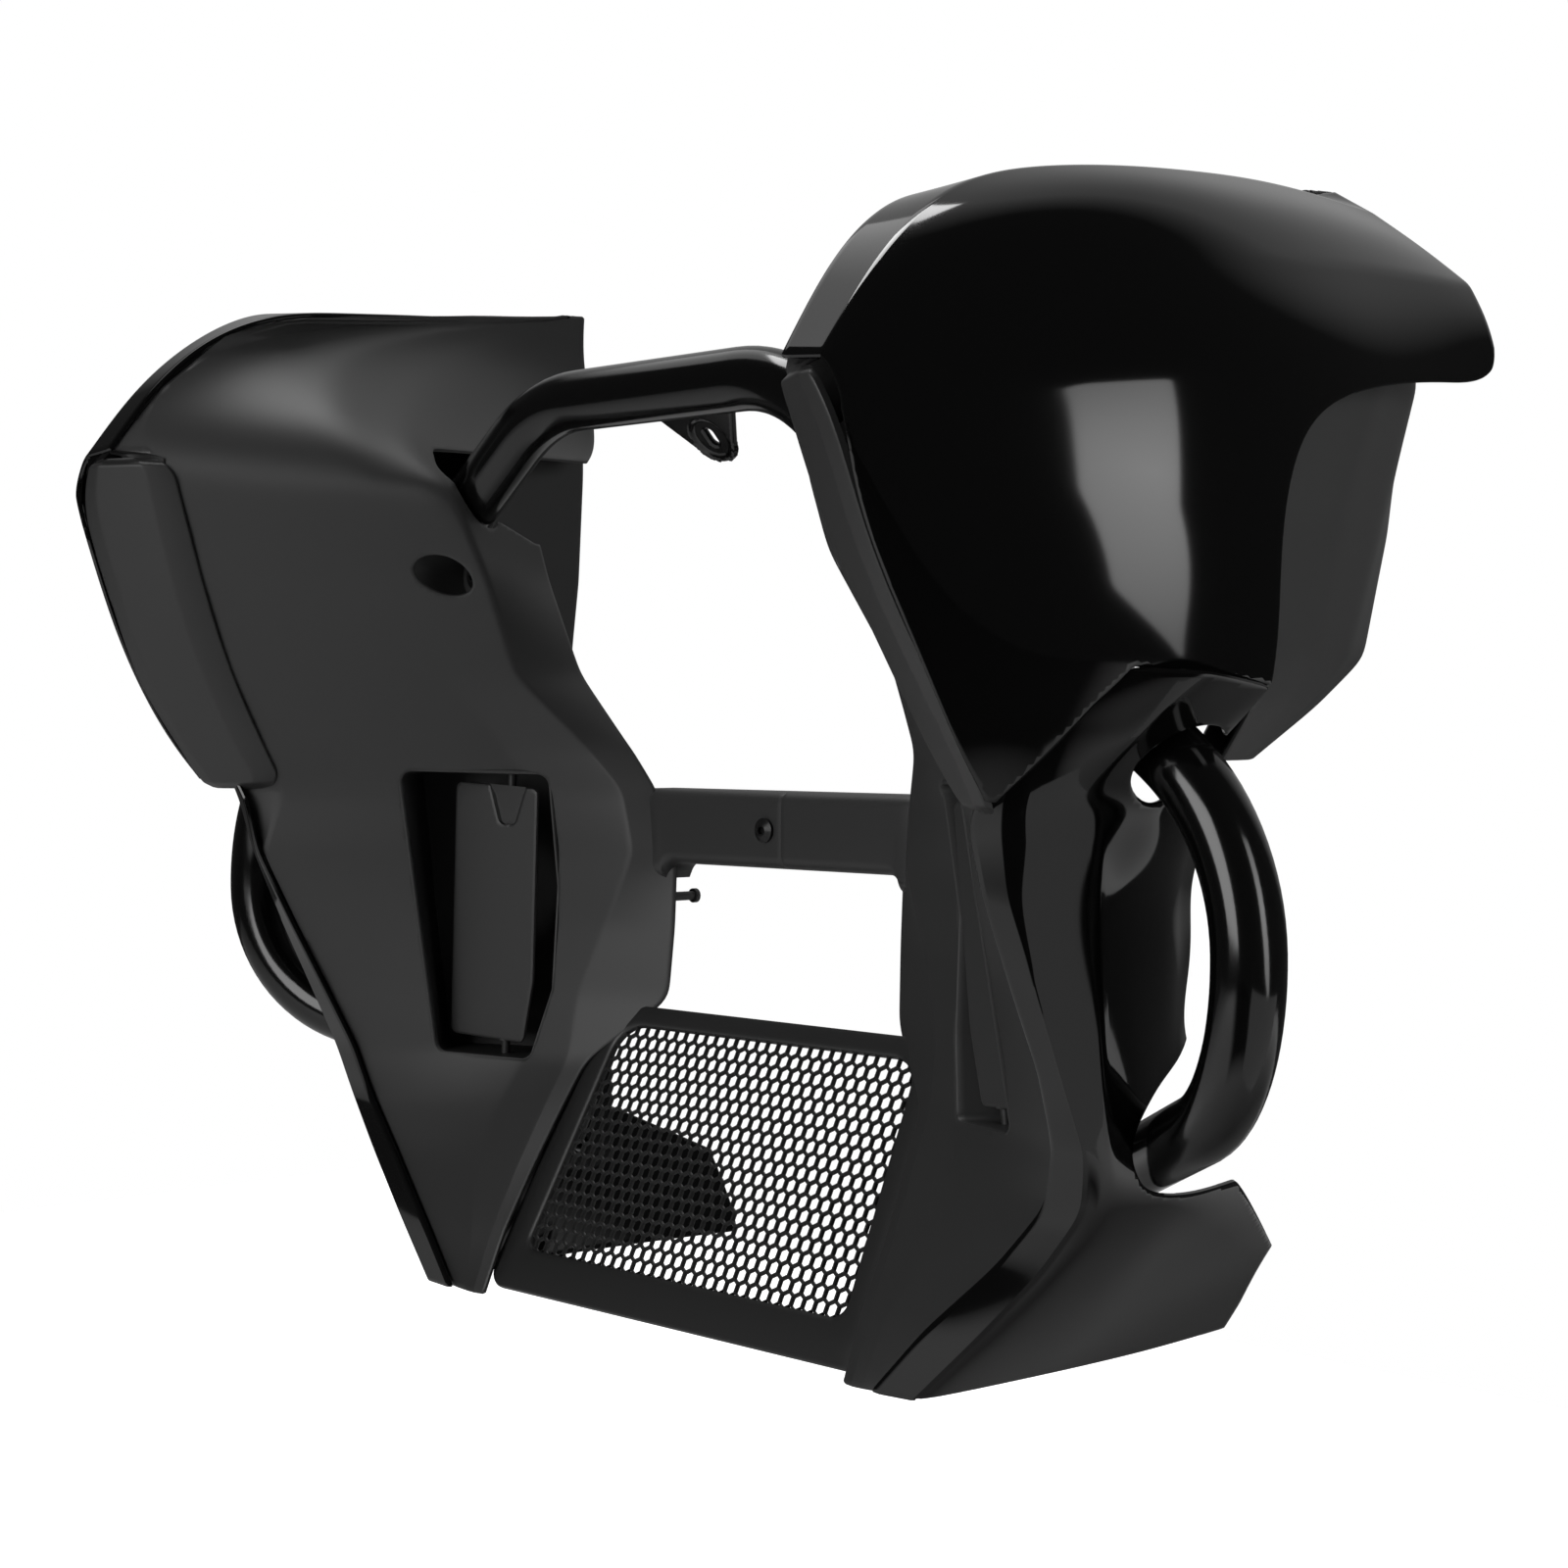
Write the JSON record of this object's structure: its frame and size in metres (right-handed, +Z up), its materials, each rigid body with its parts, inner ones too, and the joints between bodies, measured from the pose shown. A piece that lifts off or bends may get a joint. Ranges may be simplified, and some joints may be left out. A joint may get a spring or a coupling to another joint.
{
  "type": "motorcycle fairing",
  "caption": "Lower leg fairing for a touring motorcycle: twin hollow pods with pivoting vent flaps on a bent tube guard, joined by a bolted crossbar and a honeycomb chin grille.",
  "frame": {"origin": "centre of the bolt slot in the tab welded under the guard's top bar", "axes": "+X forward, +Y to the rider's left, +Z up as fitted to the motorcycle"},
  "size_m": [0.3864, 0.7878, 0.565],
  "materials": {
    "gloss_black_plastic": "gloss paint on moulded plastic",
    "grained_black_plastic": "fine moulded grain, matte",
    "gloss_black_steel": "gloss powder coat",
    "dark_fastener_steel": "black oxide"
  },
  "bodies": {
    "fairing": {"outer_cap_left": "gloss_black_plastic", "outer_cap_right": "gloss_black_plastic", "lower_cowl_left": "gloss_black_plastic", "lower_cowl_right": "gloss_black_plastic", "edge_trim_left": "grained_black_plastic", "edge_trim_right": "grained_black_plastic", "rear_cover_left": "grained_black_plastic", "rear_cover_right": "grained_black_plastic", "inner_panel_left": "grained_black_plastic", "inner_panel_right": "grained_black_plastic", "chin_grille": "grained_black_plastic", "guard_tube": "gloss_black_steel", "top_tab": "gloss_black_steel", "foot_plate_left": "gloss_black_steel", "foot_plate_right": "gloss_black_steel", "guard_clamp_left": "gloss_black_steel", "guard_clamp_right": "gloss_black_steel", "bar_screw": "dark_fastener_steel", "bar_nut": "dark_fastener_steel", "cup_screws": "dark_fastener_steel", "clamp_nuts": "dark_fastener_steel"},
    "flap_left": {"vent_flap_left": "grained_black_plastic"},
    "flap_right": {"vent_flap_right": "grained_black_plastic"}
  },
  "joints": [
    {"name": "flap_left_hinge", "type": "hinge", "parent": "fairing", "child": "flap_left", "pos_m": [-0.011, 0.189, -0.256], "axis": [0.0262, -0.0787, 0.9966], "range_deg": [-25, 50]},
    {"name": "flap_right_hinge", "type": "hinge", "parent": "fairing", "child": "flap_right", "pos_m": [-0.011, -0.189, -0.256], "axis": [0.0262, 0.0787, 0.9966], "range_deg": [-50, 25]}
  ]
}
